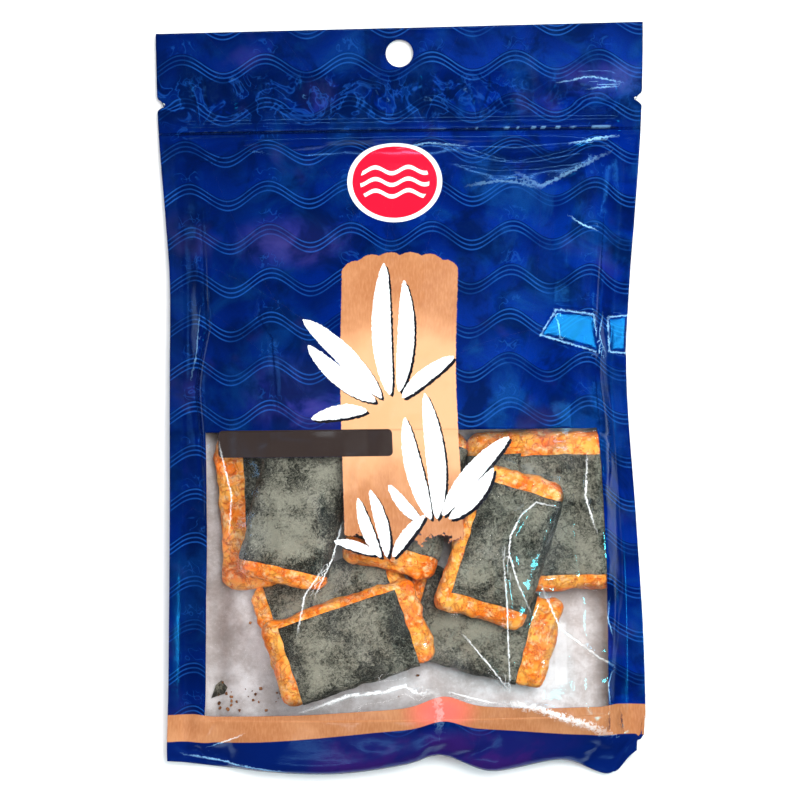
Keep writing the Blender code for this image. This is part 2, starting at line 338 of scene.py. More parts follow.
class Print:
    """The film's artwork, drawn over the flat film: all masks and the colour they make."""

    def __init__(self, net):
        self.net = net
        place = net.node("UVMap", uv_map="film").outputs[0]
        self.place = place
        parts = net.node("SeparateXYZ")
        net.feed(parts.inputs[0], place)
        self.u, self.v = parts.outputs[0], parts.outputs[1]
        self.rough = net.noise(place, 0.9, 3.0, 0.6, colour=True)
        # Painted light from the sheet's maps: painted highlights along ridges, facet rims and the closure's glints, and
        # painted shade in valleys and the crimp's dents.
        glint_and_shade = net.node("SeparateXYZ")
        net.feed(glint_and_shade.inputs[0], net.node("UVMap", uv_map="glint_and_shade").outputs[0])
        line = net.node("SeparateXYZ")
        net.feed(line.inputs[0], net.node("UVMap", uv_map="crease_light_and_shade").outputs[0])
        wander = net.math("MULTIPLY_ADD", net.noise(place, 0.9, 3.0, 0.65), 4.0, -2.0)
        across = net.math("ABSOLUTE", net.math("ADD", line.outputs[1], wander))
        broken = net.step(net.noise(place, 0.45, 3.0, 0.7), 0.34, 0.50, 0.3, 1.0)
        crease_light_and_shade = net.math("MULTIPLY", net.step(across, 0.2, 1.0, 1.0, 0.0), broken)
        crease_light_and_shade = net.math("MULTIPLY", crease_light_and_shade, line.outputs[0])
        self.painted_highlight = net.math("MAXIMUM", net.step(glint_and_shade.outputs[0], 0.15, 1.0, 0.0, 0.6), crease_light_and_shade)
        # Below zero the crease lines are painted shade in the folds.
        folds = net.math("MULTIPLY", crease_light_and_shade, -1.0)
        self.folded = net.math("MAXIMUM", net.step(glint_and_shade.outputs[0], -1.0, -0.1, 1.0, 0.0), folds)

    def shaken(self, amount):
        """The place, moved about by up to amount: for printed edges like a dry brush."""
        net = self.net
        centred = net.vector("SUBTRACT", self.rough, (0.5, 0.5, 0.5))
        scaled = net.vector("MULTIPLY", centred, (amount * 2, amount * 2, 0))
        return net.vector("ADD", self.place, scaled)

    def waves(self):
        """(line mask, shade): triple wave lines in rows with wisps of spray, and the tone under them."""
        net = self.net
        turns = net.math("MULTIPLY", net.math("SUBTRACT", self.u, WAVE_CREST[0]), 2 * math.pi / WAVE_PERIOD)
        swing = net.math("MULTIPLY", net.math("COSINE", turns), WAVE_HEIGHT)
        depth = net.math("SUBTRACT", WAVE_CREST[1] - WAVE_HEIGHT, net.math("SUBTRACT", self.v, swing))
        within = net.math("MULTIPLY", net.math("FRACT", net.math("DIVIDE", depth, WAVE_PITCH)), WAVE_PITCH)
        lines = None
        for k in range(3):
            away = net.math("ABSOLUTE", net.math("SUBTRACT", within, 0.6 + LINE_GAP * k))
            line = net.step(away, 0.05, 0.40, 1.0, 0.0)
            lines = line if lines is None else net.math("MAXIMUM", lines, line)
        faded = net.step(net.noise(self.place, 0.050, 3.0), 0.36, 0.62, 0.30, 1.0)
        lines = net.math("MULTIPLY", lines, faded)
        over_line = net.band(within, WAVE_PITCH - 4.6, WAVE_PITCH - 0.4, 0.5)
        at_crest = net.step(net.math("COSINE", turns), 0.35, 0.85)
        curls = net.math("ABSOLUTE", net.math("SUBTRACT", net.noise(self.place, 0.22, 1.0, 0.5, 1.3), 0.5))
        wisps = net.math("MULTIPLY", net.step(curls, 0.008, 0.034, 0.4, 0.0), net.math("MULTIPLY", over_line, at_crest))
        shade = net.step(within, 2.0, WAVE_PITCH)
        return net.math("MAXIMUM", lines, wisps), shade

    def leaves(self, offset):
        """White leaves, brushed in curved strokes that end in points, moved by offset."""
        net = self.net
        place = self.shaken(0.5)
        total = None
        for x, y, lean, length, half, bend in LEAVES:
            along = (math.cos(math.radians(lean)), math.sin(math.radians(lean)))
            arm = net.vector("SUBTRACT", place, (x + offset[0], y + offset[1], 0))
            far = net.dot(arm, (along[0], along[1], 0))
            off = net.dot(arm, (-along[1], along[0], 0))
            off = net.math("MULTIPLY_ADD", net.math("MULTIPLY", far, far), bend, off)
            share = net.math("DIVIDE", far, length)
            belly = net.math("MULTIPLY", share, net.math("SUBTRACT", 1.0, share))
            reach = net.math("MULTIPLY", net.math("POWER", net.math("MAXIMUM", belly, 0.0), 0.6), 2.3 * half)
            leaf = net.step(net.math("SUBTRACT", net.math("ABSOLUTE", off), reach), -0.12, 0.02, 1.0, 0.0)
            total = leaf if total is None else net.math("MAXIMUM", total, leaf)
        return total

    def banner(self):
        """The paper strip: scalloped at its top, torn where it ends over the window."""
        net = self.net
        place = self.shaken(0.35)
        parts = net.node("SeparateXYZ")
        net.feed(parts.inputs[0], place)
        u, v = parts.outputs[0], parts.outputs[1]
        scallop = net.math("ABSOLUTE", net.math("SINE", net.math("MULTIPLY", u, math.pi / 7.2)))
        round_top = net.math("POWER", net.math("ABSOLUTE", net.math("DIVIDE", u, 20.8)), 2.6)
        crown = net.math("SQRT", net.math("MAXIMUM", net.math("SUBTRACT", 1.0, round_top), 0.0))
        top = net.math("MULTIPLY_ADD", scallop, 0.9, net.math("MULTIPLY", crown, 8.0))
        top = net.math("ADD", top, BANNER_V[1] - 8.4)
        under_top = net.step(net.math("SUBTRACT", v, top), -0.12, 0.12, 1.0, 0.0)
        torn = net.math("MULTIPLY", net.math("SUBTRACT", net.noise(self.place, 0.13, 4.0, 0.7), 0.5), 26.0)
        over_end = net.step(net.math("ADD", v, torn), BANNER_V[0] - 0.6, BANNER_V[0] + 0.6)
        sides = net.band(u, BANNER_U[0], BANNER_U[1], 0.15)
        return net.math("MULTIPLY", sides, net.math("MULTIPLY", under_top, over_end))

    def label(self):
        """A dark bar with round corners."""
        net = self.net
        (left, right), (bottom, top) = LABEL
        centre = ((left + right) / 2, (bottom + top) / 2, 0)
        half = ((right - left) / 2 - 1.5, (top - bottom) / 2 - 1.5, 0)
        arm = net.vector("ABSOLUTE", net.vector("SUBTRACT", self.place, centre))
        beyond = net.vector("MAXIMUM", net.vector("SUBTRACT", arm, half), (0, 0, 0))
        return net.step(net.vector("LENGTH", beyond), 1.4, 1.6, 1.0, 0.0)

    def emblem(self):
        """(white disc, red disc): a plain oval seal with a white rim and three white wave lines."""
        net = self.net
        arm = net.vector("SUBTRACT", self.place, (EMBLEM[0], EMBLEM[1], 0))
        reach = net.vector("LENGTH", net.vector("MULTIPLY", arm, (1.0, EMBLEM[2] / EMBLEM[3], 0)))
        disc = net.step(reach, EMBLEM[2] - 0.15, EMBLEM[2] + 0.15, 1.0, 0.0)
        red = net.step(reach, EMBLEM[2] - 1.75, EMBLEM[2] - 1.5, 1.0, 0.0)
        swing = net.math("SINE", net.math("MULTIPLY", self.u, 2 * math.pi / 11.0))
        height = net.math("SUBTRACT", net.math("SUBTRACT", self.v, EMBLEM[1]), swing)
        stripe = net.step(net.math("PINGPONG", height, 1.9), 0.55, 0.75, 1.0, 0.0)
        middle = net.step(net.math("ABSOLUTE", height), 4.6, 4.8, 1.0, 0.0)
        inner = net.step(reach, EMBLEM[2] - 4.4, EMBLEM[2] - 4.2, 1.0, 0.0)
        pattern = net.math("MULTIPLY", stripe, net.math("MULTIPLY", middle, inner))
        return disc, net.math("MULTIPLY", red, net.math("SUBTRACT", 1.0, pattern))

    def band_mask(self):
        """The paper band along the bottom. It rises where the film is gathered."""
        net = self.net

        def hump(width, height):
            away = net.math("DIVIDE", net.math("SUBTRACT", self.u, BAND_PEAK), width)
            return net.math("MULTIPLY", net.math("EXPONENT", net.math("MULTIPLY", net.math("MULTIPLY", away, away), -1.0)), height)

        lower = net.math("ADD", net.math("ADD", hump(45.0, 5.0), hump(7.0, 2.6)), BAND_V[0])
        upper = net.math("ADD", net.math("MULTIPLY_ADD", self.u, 0.009, hump(40.0, 2.3)), BAND_V[1] + 0.7)
        upper = net.math("ADD", upper, hump(8.0, 3.6))
        over = net.step(net.math("SUBTRACT", self.v, lower), -0.15, 0.15)
        under = net.step(net.math("SUBTRACT", self.v, upper), -0.15, 0.15, 1.0, 0.0)
        return net.math("MULTIPLY", over, under)

    def spot(self, centre, reach):
        """1 at a place on the film, fading out to nothing at its reach."""
        arm = self.net.vector("SUBTRACT", self.place, (centre[0], centre[1], 0))
        arm = self.net.vector("DIVIDE", arm, (reach[0], reach[1], 1.0))
        return self.net.step(self.net.vector("LENGTH", arm), 0.15, 1.0, 1.0, 0.0)

    def sea(self):
        """The blue ground with the waves, a fine grain and painted light: painted shade darker to the left and in night
        blue clouds, painted sheen in teal clouds and violet spots, painted shade in the closure's groove, and painted
        shade and highlight in the header's crumples.
        """
        net = self.net
        lines, shade = self.waves()
        blue = net.mix(shade, BLUE_DEEP, BLUE_MID)
        grain = net.noise(self.place, 2.2, 3.0, 0.8)
        teal = net.noise(self.place, 0.045, 4.0, 0.62, 0.8)
        dusk = net.noise(self.place, 0.060, 4.0, 0.62, 0.5)
        cloud = net.noise(self.place, 0.032, 3.0, 0.6)
        # Painted sheen: teal clouds.
        blue = net.mix(net.step(teal, 0.47, 0.68, 0.0, 0.85), blue, BLUE_TEAL_SHEEN)
        # Painted shade: darker to the left, away from the key light.
        blue = net.mix(net.step(self.u, -80.0, 60.0, 0.58, 0.0), blue, BLUE_NIGHT)
        # Painted shade: night blue clouds where the film lies in dark folds.
        blue = net.mix(net.step(dusk, 0.44, 0.64, 0.0, 0.8), blue, BLUE_NIGHT)
        blue = net.mix(net.math("MULTIPLY", lines, 0.65), blue, BLUE_LINE)
        blue = net.mix(net.step(grain, 0.46, 0.62, 0.0, 0.22), blue, BLUE_NIGHT)
        # Painted shade in the closure's groove.
        groove_shade = net.band(self.v, ZIP_V[1] - 0.5, ZIP_V[1] + 0.4, 0.35)
        groove_shade = net.math("MULTIPLY", groove_shade, net.step(net.math("ABSOLUTE", self.u), ZIP_ENDS - 3, ZIP_ENDS, 0.85, 0.0))
        blue = net.mix(groove_shade, blue, BLUE_NIGHT)
        # Painted shade and highlight in the header's crumples: dark blotches with paler rims.
        crumpled = net.noise(self.place, 0.11, 3.0, 0.55, 1.0)
        in_header = net.math("MULTIPLY", net.band(self.v, 93.0, 107.0, 3.0), net.step(self.u, 20.0, 50.0, 1.0, 0.3))
        dark = net.math("MULTIPLY", net.step(crumpled, 0.48, 0.55, 0.0, 0.8), in_header)
        crumple_sheen = net.step(net.math("ABSOLUTE", net.math("SUBTRACT", crumpled, 0.475)), 0.0, 0.03, 0.3, 0.0)
        blue = net.mix(dark, blue, BLUE_NIGHT)
        blue = net.mix(net.math("MULTIPLY", crumple_sheen, in_header), blue, BLUE_LINE)
        # Painted violet sheen: faint clouds and the violet spots.
        violet_sheen = net.step(cloud, 0.58, 0.74, 0.0, 0.30)
        ragged = net.step(dusk, 0.30, 0.60, 0.9, 0.1)
        for centre, reach in VIOLET_SHEEN_SPOTS:
            violet_sheen = net.math("MAXIMUM", violet_sheen, net.math("MULTIPLY", self.spot(centre, reach), ragged))
        return net.vector("ADD", blue, net.mix(violet_sheen, grey(0.0), VIOLET_SHEEN))

    def paper(self):
        """Brown paper with fibres: paler in the middle of the banner."""
        net = self.net
        tone = net.noise(self.place, 0.06, 3.0, 0.55)
        fibres = net.noise(net.vector("MULTIPLY", self.place, (1.0, 0.25, 1.0)), 1.6, 3.0, 0.6)
        rise = net.band(self.v, -24.0, 24.0, 16.0)
        tone = net.math("MULTIPLY_ADD", net.math("SUBTRACT", tone, 0.5), 1.6, rise)
        paper = net.mix(net.step(tone, -0.1, 1.0), PAPER_DARK, PAPER_LIGHT)
        return net.mix(net.step(fibres, 0.35, 0.75, 0.0, 0.25), paper, PAPER_LIGHT)

    def colour(self):
        """(colour, opaque mask): the print's colour, and where ink or paper covers clear film."""
        net = self.net
        # Painted reflection: violet across the middle of the hem.
        purple_reflection = net.step(net.noise(self.place, 0.07, 3.0, 0.6, 0.5), 0.40, 0.60, 0.25, 1.0)
        purple_reflection = net.math("MULTIPLY", purple_reflection, net.band(self.u, -30.0, 50.0, 12.0))
        hem = net.mix(purple_reflection, HEM_BLUE, HEM_VIOLET_REFLECTION)
        colour = net.mix(net.step(self.v, -110.0, -104.0, 1.0, 0.0), self.sea(), hem)
        paper, banner, band = self.paper(), self.banner(), self.band_mask()
        colour = net.mix(band, colour, paper)
        rosy = net.math("MULTIPLY", self.spot((BAND_PEAK - 1.0, -100.0), (15.0, 10.0)), 0.9)
        colour = net.mix(net.math("MULTIPLY", rosy, band), colour, ROSE)
        colour = net.mix(banner, colour, paper)
        disc, red = self.emblem()
        colour = net.mix(disc, colour, WHITE_INK)
        colour = net.mix(red, colour, SEAL_RED)
        shadow, leaves = self.leaves((0.8, -0.8)), self.leaves((0.0, 0.0))
        colour = net.mix(shadow, colour, DARK_INK)
        colour = net.mix(leaves, colour, WHITE_INK)
        label = self.label()
        colour = net.mix(label, colour, LABEL_INK)
        # Painted shade in the folds.
        colour = net.mix(net.math("MULTIPLY", self.folded, 0.75), colour, BLUE_NIGHT)
        covers = (banner, label, shadow, leaves)
        opaque = band
        for cover in covers:
            opaque = net.math("MAXIMUM", opaque, cover)
        # Painted highlights along the ridges: pale blue over the blue, white over paper and ink.
        pale = net.mix(opaque, CREASE_HIGHLIGHT, WHITE_INK)
        colour = net.mix(net.math("MULTIPLY", self.painted_highlight, 0.8), colour, pale)
        return colour, opaque

    def crinkle(self):
        """Fine creases of handled film, and the sparkling dots along the closure, as a normal."""
        net = self.net
        broad = net.noise(self.place, 0.16, 3.0, 0.55, 0.6)
        fine = net.noise(self.place, 0.7, 3.0, 0.6, 0.4)
        pressed = net.band(self.v, ZIP_V[1] - 0.3, ZIP_V[1] + 0.3, 0.3)
        dots = net.math("MULTIPLY", net.noise(self.place, 1.5, 1.0), pressed)
        first = net.bump(broad, 0.12, 0.0006)
        second = net.bump(fine, 0.12, 0.00018, first)
        return net.bump(dots, 1.0, 0.0012, second)


def printed_film():
    net = Net("printed_film")
    art = Print(net)
    colour, opaque = art.colour()
    surface = net.shader(colour, 0.16, art.crinkle())
    net.feed(surface.node.inputs["Specular Tint"], net.mix(opaque, (0.16, 0.50, 1.0, 1), grey(1.0)))
    return net.finish(surface)


def inner_film():
    """The inside of the printed film: grey, cloudy and satin."""
    net = Net("inner_film")
    place = net.node("UVMap", uv_map="film").outputs[0]
    cloud = net.noise(place, 0.070, 6.0, 0.72)
    speckle = net.noise(place, 1.1, 4.0, 0.7)
    colour = net.mix(net.step(cloud, 0.36, 0.66), (0.46, 0.43, 0.43, 1), (0.78, 0.78, 0.81, 1))
    colour = net.mix(net.step(speckle, 0.5, 0.75, 0.0, 0.4), colour, (0.80, 0.80, 0.84, 1))
    parts = net.node("SeparateXYZ")
    net.feed(parts.inputs[0], place)
    mark = net.math("MULTIPLY", net.band(parts.outputs[0], 50.0, 54.0, 0.4), net.band(parts.outputs[1], -94.0, -74.0, 0.4))
    colour = net.mix(net.math("MULTIPLY", mark, 0.6), colour, (0.86, 0.86, 0.90, 1))
    return net.finish(net.shader(colour, 0.38, net.bump(cloud, 0.25, 0.0005)))


def window_film():
    """Clear film: light passes straight through, it mirrors a little, it is faintly milky in clouds, a
    painted highlight turns it milky white along its ridges, and print covers part of it."""
    net = Net("window_film")
    art = Print(net)
    colour, opaque = art.colour()
    normal = art.crinkle()
    printed = net.shader(colour, 0.24, normal)
    clear = net.node("BsdfTransparent")
    clear.inputs["Color"].default_value = (0.985, 0.99, 0.99, 1)
    gloss = net.node("BsdfGlossy")
    gloss.inputs["Color"].default_value = grey(1.0)
    gloss.inputs["Roughness"].default_value = 0.10
    fresnel = net.node("Fresnel")
    fresnel.inputs["IOR"].default_value = 1.5
    for shaded in (gloss, fresnel):
        net.feed(shaded.inputs["Normal"], normal)
    haze_and_highlight = net.node("BsdfDiffuse")
    haze_and_highlight.inputs["Color"].default_value = grey(0.85)
    veil = net.math("MULTIPLY_ADD", net.step(net.noise(art.place, 0.05, 3.0, 0.6, 0.6), 0.45, 0.75), 0.04, 0.005)
    hazy = net.node("MixShader")
    # Milky white where the painted highlight lies on the ridges, faintly milky in clouds elsewhere.
    net.feed(hazy.inputs[0], net.math("MAXIMUM", net.math("MULTIPLY", art.painted_highlight, 0.85), veil))
    net.feed(hazy.inputs[1], clear.outputs[0])
    net.feed(hazy.inputs[2], haze_and_highlight.outputs[0])
    film = net.node("MixShader")
    net.feed(film.inputs[0], fresnel.outputs[0])
    net.feed(film.inputs[1], hazy.outputs[0])
    net.feed(film.inputs[2], gloss.outputs[0])
    both = net.node("MixShader")
    net.feed(both.inputs[0], opaque)
    net.feed(both.inputs[1], film.outputs[0])
    net.feed(both.inputs[2], printed)
    return net.finish(both.outputs[0])


def cracker_material():
    """Toasted rice: cream to orange blisters, with painted shade making it browner in the hollows, and a thin glaze."""
    net = Net("cracker")
    place = net.node("TexCoord").outputs["Object"]
    broad = net.noise(place, 120.0, 3.0, 0.6)
    blisters = net.noise(place, 400.0, 4.0, 0.62, 0.3)
    creases = net.noise(place, 210.0, 5.0, 0.65, 0.8)
    furrow = net.math("ABSOLUTE", net.math("SUBTRACT", creases, 0.5))
    colour = net.mix(net.step(broad, 0.38, 0.62), (1.0, 0.215, 0.008, 1), (1.0, 0.45, 0.075, 1))
    colour = net.mix(net.step(blisters, 0.48, 0.68, 0.0, 0.85), colour, (1.0, 0.64, 0.33, 1))
    spots = net.noise(place, 620.0, 3.0, 0.7)
    colour = net.mix(net.step(spots, 0.56, 0.66, 0.0, 0.75), colour, (0.80, 0.10, 0.005, 1))
    # Painted shade: the furrows darker red brown.
    colour = net.mix(net.step(furrow, 0.0, 0.018, 0.65, 0.0), colour, (0.50, 0.07, 0.008, 1))
    height = net.math("ADD", net.math("MULTIPLY", blisters, 0.6), net.step(furrow, 0.0, 0.05))
    normal = net.bump(height, 0.7, 0.0005)
    return net.finish(net.shader(colour, 0.42, normal, Coat_Weight=0.15, Coat_Roughness=0.25))


def nori_material():
    """Dry seaweed: near black green with frosted patches and fine pale flecks, a little lighter away from its edges as
    a painted sheen of the film lying on it.
    """
    net = Net("nori")
    place = net.node("TexCoord").outputs["Object"]
    sheet = net.node("SeparateXYZ")
    net.feed(sheet.inputs[0], net.node("UVMap", uv_map="sheet").outputs[0])
    inside = net.step(sheet.outputs[0], 0.5, 7.0)
    patches = net.noise(place, 75.0, 4.0, 0.62, 0.5)
    grain = net.noise(place, 700.0, 4.0, 0.8, 1.5)
    flecks = net.noise(place, 950.0, 3.0, 0.75, 3.5)
    tone = net.math("MULTIPLY_ADD", patches, 0.47, net.math("MULTIPLY", grain, 0.53))
    # Painted sheen: a little lighter away from the edges, where the film lies on the nori.
    tone = net.math("MULTIPLY_ADD", inside, 0.05, tone)
    colour = net.mix(net.step(tone, 0.45, 0.63), (0.003, 0.005, 0.003, 1), (0.26, 0.26, 0.21, 1))
    strands = net.math("ABSOLUTE", net.math("SUBTRACT", net.noise(place, 330.0, 3.0, 0.7, 2.0), 0.5))
    colour = net.mix(net.step(strands, 0.0, 0.014, 0.35, 0.0), colour, (0.50, 0.49, 0.40, 1))
    colour = net.mix(net.step(flecks, 0.58, 0.70, 0.0, 0.6), colour, (0.55, 0.54, 0.47, 1))
    height = net.math("ADD", net.math("MULTIPLY", flecks, 0.5), grain)
    return net.finish(net.shader(colour, 0.6, net.bump(height, 0.8, 0.0005)))


def crumb_material():
    net = Net("crumb")
    place = net.node("TexCoord").outputs["Object"]
    tone = net.noise(place, 260.0, 3.0, 0.6)
    colour = net.mix(net.step(tone, 0.35, 0.7), (0.10, 0.035, 0.012, 1), (0.45, 0.20, 0.08, 1))
    return net.finish(net.shader(colour, 0.6, net.bump(tone, 0.6, 0.0004)))


def floor_material():
    net = Net("floor")
    place = net.node("TexCoord").outputs["Object"]
    tone = net.noise(place, 30.0, 3.0, 0.5)
    colour = net.mix(tone, grey(0.86), grey(0.90))
    return net.finish(net.shader(colour, 0.85))


# ---------------------------------------------------------------- crackers

def slab(length, width, thick, radius, step):
    """Points and faces of a closed block with round edges, each point's outward direction, and
    each face's place on the block before it was rounded."""
    counts = [max(round(side / step), 4) for side in (length, width, thick)]
    size = np.array((length, width, thick), float)
    index, keys = {}, []

    def vertex(key):
        if key not in index:
            index[key] = len(keys)
            keys.append(key)
        return index[key]

    faces = []
    for axis in range(3):
        a, b = (axis + 1) % 3, (axis + 2) % 3
        for side in (0, counts[axis]):
            for i in range(counts[a]):
                for j in range(counts[b]):
                    face = []
                    for di, dj in ((0, 0), (1, 0), (1, 1), (0, 1)):
                        key = [0, 0, 0]
                        key[axis], key[a], key[b] = side, i + di, j + dj
                        face.append(vertex(tuple(key)))
                    faces.append(face if side else face[::-1])
    block = (np.array(keys) / counts - 0.5) * size
    core = np.clip(block, -(size / 2 - radius), size / 2 - radius)
    out = block - core
    out /= np.linalg.norm(out, axis=1)[:, None]
    faces = np.array(faces)
    return core + radius * out, faces, out, block[faces].mean(axis=1)


def place_matrix(x, y, z, turn, pitch, roll):
    spin = Matrix.Rotation(math.radians(turn), 3, "Z")
    tip = Euler((math.radians(-roll), math.radians(-pitch), 0)).to_matrix()
    return np.array(spin @ tip), np.array((x, y, z))


def build_crackers(cracker, nori):
    """Each cracker and its nori. Returns all their points and faces, for the film to lie on."""
    all_points, all_faces, count = [], [], 0
    step = 0.85
    for number, (name, spec) in enumerate(CRACKERS.items()):
        x, y, z, length, width, turn, pitch, roll, near, far, right, left = spec
        body, faces, out, places = slab(length, width, THICKNESS, 4.0, step)
        shift = number * 3.7
        rise = 0.95 * lumps(body, 9.0, shift) + 0.65 * lumps(body, 3.6, shift) + 0.25 * lumps(body, 1.5, shift)
        low = (-length / 2 + near, -width / 2 + right if right else -99)
        high = (length / 2 - far, width / 2 - left if left else 99)
        margin = np.minimum(body[:, :2] - low, high - body[:, :2]).min(axis=1)
        inside_by = np.minimum(margin, width / 2 - np.abs(body[:, 1]))
        wrapped = ease(-0.6, 0.6, margin)
        bow = 0.9 * np.sin(shift) * ((body[:, 0] * 2 / length) ** 2 - 0.4)
        crust = body + out * (rise * (1 - 0.6 * wrapped) - 0.25 * wrapped)[:, None]
        crust[:, 2] += bow

        inside = ((places[:, :2] > low) & (places[:, :2] < high)).all(axis=1)
        skin = body + out * (0.4 * rise + 0.32 + 0.22 * lumps(body, 2.2, shift + 5))[:, None]
        skin[:, 0] += 0.35 * lumps(body, 3.4, shift + 9)
        skin[:, 1] += 0.35 * lumps(body, 3.4, shift + 17)
        skin[:, 2] += bow

        rotation, centre = place_matrix(x, y, z, turn, pitch, roll)
        crust = crust @ rotation.T + centre
        skin = skin @ rotation.T + centre
        make_piece("cracker_" + name, crust, faces, [cracker])
        sheet_faces = faces[inside]
        used, compact = np.unique(sheet_faces, return_inverse=True)
        sheet = make_piece("nori_" + name, skin[used], compact.reshape(-1, 4), [nori])
        add_map(sheet, "sheet", np.stack([inside_by[used], body[used, 2]], -1))
        thick = sheet.modifiers.new("thickness", "SOLIDIFY")
        thick.thickness = 0.18 * MM
        thick.offset = -1
        for points in (crust, skin):
            all_points.append(points)
            all_faces.append(faces + count)
            count += len(points)
    return np.concatenate(all_points), np.concatenate(all_faces)


def build_crumbs(crumb, nori):
    """Loose crumbs on the back panel, and one torn flake of nori."""
    rng = np.random.default_rng(11)
    points, faces, count = [], [], 0
    for k in range(46):
        size = rng.uniform(0.2, 0.65)
        body, quads, out, _ = slab(2 * size, 1.5 * size, 1.2 * size, 0.55 * size, 0.5 * size)
        body = body + out * (0.25 * size * lumps(body, size, k))[:, None]
        if k < 30:
            centre = np.array((rng.uniform(-63, -40), rng.normal(-97.5, 2.2), 1.1))
        else:
            centre = np.array((rng.uniform(-60, 62), rng.uniform(-99, -66), 1.1))
        spin = np.array(Matrix.Rotation(rng.uniform(0, 6.3), 3, "Z"))
        points.append(body @ spin.T + centre)
        faces.append(quads + count)
        count += len(body)
    make_piece("crumbs", np.concatenate(points), np.concatenate(faces), [crumb])

    rim = [(-65.0, -97.0), (-63.4, -92.6), (-61.6, -91.2), (-59.6, -93.4), (-60.6, -95.6), (-63.0, -96.2)]
    rings = []
    for share in (1.0, 0.6, 0.25):
        rings += [(-62.2 + (x + 62.2) * share, -94.3 + (y + 94.3) * share) for x, y in rim]
    flake = np.array([(x, y, 1.2 + 0.4 * math.sin(x * 2.1 + y)) for x, y in rings] + [(-62.2, -94.3, 1.6)])
    n = len(rim)
    quads = [(r * n + k, r * n + (k + 1) % n, (r + 1) * n + (k + 1) % n, (r + 1) * n + k)
             for r in (0, 1) for k in range(n)]
    fan = [(2 * n + k, 2 * n + (k + 1) % n, 3 * n) for k in range(n)]
    piece = make_piece("nori_flake", flake, quads + fan, [nori])
    add_map(piece, "sheet", np.zeros((len(flake), 2)))
    thick = piece.modifiers.new("thickness", "SOLIDIFY")
    thick.thickness = 0.18 * MM


# ---------------------------------------------------------------- film simulation

class Outline:
    """The solid's outline and its two surfaces, read from the frame."""

    def __init__(self):
        mesh = solid.data
        corners = np.zeros(len(mesh.vertices) * 3)
        mesh.vertices.foreach_get("co", corners)
        corners = corners.reshape(-1, 3) / MM
        pairs = np.zeros(len(mesh.edges) * 2, int)
        mesh.edges.foreach_get("vertices", pairs)
        self.first, self.second = corners[pairs.reshape(-1, 2)].transpose(1, 0, 2)
        self.ys = np.arange(LOW.y + 8, HIGH.y - 3, 2.0)
        self.lefts, self.rights = self.reach(self.ys, 1)
        self.xs = np.arange(LOW.x + 1.5, HIGH.x - 1, 1.5)
        self.bottoms, self.tops = self.reach(self.xs, 0)
        self.tree = BVHTree.FromObject(solid, bpy.context.evaluated_depsgraph_get())

    def reach(self, cuts, axis):
        """The lowest and highest place where the solid's edges cross each line."""
        lows, highs = [], []
        for cut in cuts:
            a, b = self.first, self.second
            crossing = (a[:, axis] - cut) * (b[:, axis] - cut) <= 0
            crossing &= a[:, axis] != b[:, axis]
            a, b = a[crossing], b[crossing]
            share = (cut - a[:, axis]) / (b[:, axis] - a[:, axis])
            places = a[:, 1 - axis] * (1 - share) + b[:, 1 - axis] * share
            lows.append(places.min())
            highs.append(places.max())
        return np.array(lows), np.array(highs)

    def edges(self, y):
        return np.interp(y, self.ys, self.lefts), np.interp(y, self.ys, self.rights)

    def heights(self, x, y, above):
        """The solid's top or underside over each place. Places off its rim take their neighbour's."""
        start, aim = (1.0, -1.0) if above else (-1.0, 1.0)
        found = np.full(x.shape, np.nan)
        for spot in np.ndindex(x.shape):
            hit = self.tree.ray_cast(Vector((x[spot] * MM, y[spot] * MM, start)), Vector((0, 0, aim)))
            if hit[0] is not None:
                found[spot] = hit[0].z / MM
        for row in found:
            known = np.flatnonzero(~np.isnan(row))
            if len(known):
                row[:] = np.interp(np.arange(len(row)), known, row[known])
        for column in found.T:
            known = np.flatnonzero(~np.isnan(column))
            column[:] = np.interp(np.arange(len(column)), known, column[known])
        return found


class HeightMap:
    """How high a set of faces reaches over the ground, on a grid of 1 mm."""

    def __init__(self, points, faces, above=True):
        self.origin = np.array((LOW.x - 4, LOW.y - 4))
        shape = (int(HIGH.y - LOW.y) + 9, int(HIGH.x - LOW.x) + 9)
        self.values = np.zeros(shape) if above else np.full(shape, 99.0)
        tree = BVHTree.FromPolygons(points.tolist(), faces.tolist())
        start, aim = (200.0, -1.0) if above else (-200.0, 1.0)
        for j, i in np.ndindex(shape):
            place = Vector((self.origin[0] + i, self.origin[1] + j, start))
            hit = tree.ray_cast(place, Vector((0, 0, aim)))
            if hit[0] is not None:
                self.values[j, i] = hit[0].z

    def at(self, x, y):
        fi = np.clip(x - self.origin[0], 0, self.values.shape[1] - 1.001)
        fj = np.clip(y - self.origin[1], 0, self.values.shape[0] - 1.001)
        i, j = fi.astype(int), fj.astype(int)
        s, t = fi - i, fj - j
        v = self.values
        return (
            (v[j, i] * (1 - s) + v[j, i + 1] * s) * (1 - t)
            + (v[j + 1, i] * (1 - s) + v[j + 1, i + 1] * s) * t
        )


def film_grid():
    """The flat film's coarse columns and rows."""
    u = np.linspace(-FILM_WIDTH / 2, FILM_WIDTH / 2, COARSE_COLUMNS + 1)
    bottom, top = LOW.y + 3.4, HIGH.y - 1.8
    v = np.linspace(bottom, top, round((top - bottom) * COARSE_COLUMNS / FILM_WIDTH) + 1)
    return np.meshgrid(u, v)


def doubled(grid, axis):
    """The grid with a smooth value put between each two neighbours along one axis."""
    grid = np.moveaxis(grid, axis, 0)
    padded = np.concatenate([2 * grid[:1] - grid[1:2], grid, 2 * grid[-1:] - grid[-2:-1]])
    between = (9 * (padded[1:-2] + padded[2:-1]) - padded[:-3] - padded[3:]) / 16
    finer = np.empty((2 * len(grid) - 1,) + grid.shape[1:])
    finer[::2], finer[1::2] = grid, between
    return np.moveaxis(finer, 0, axis)


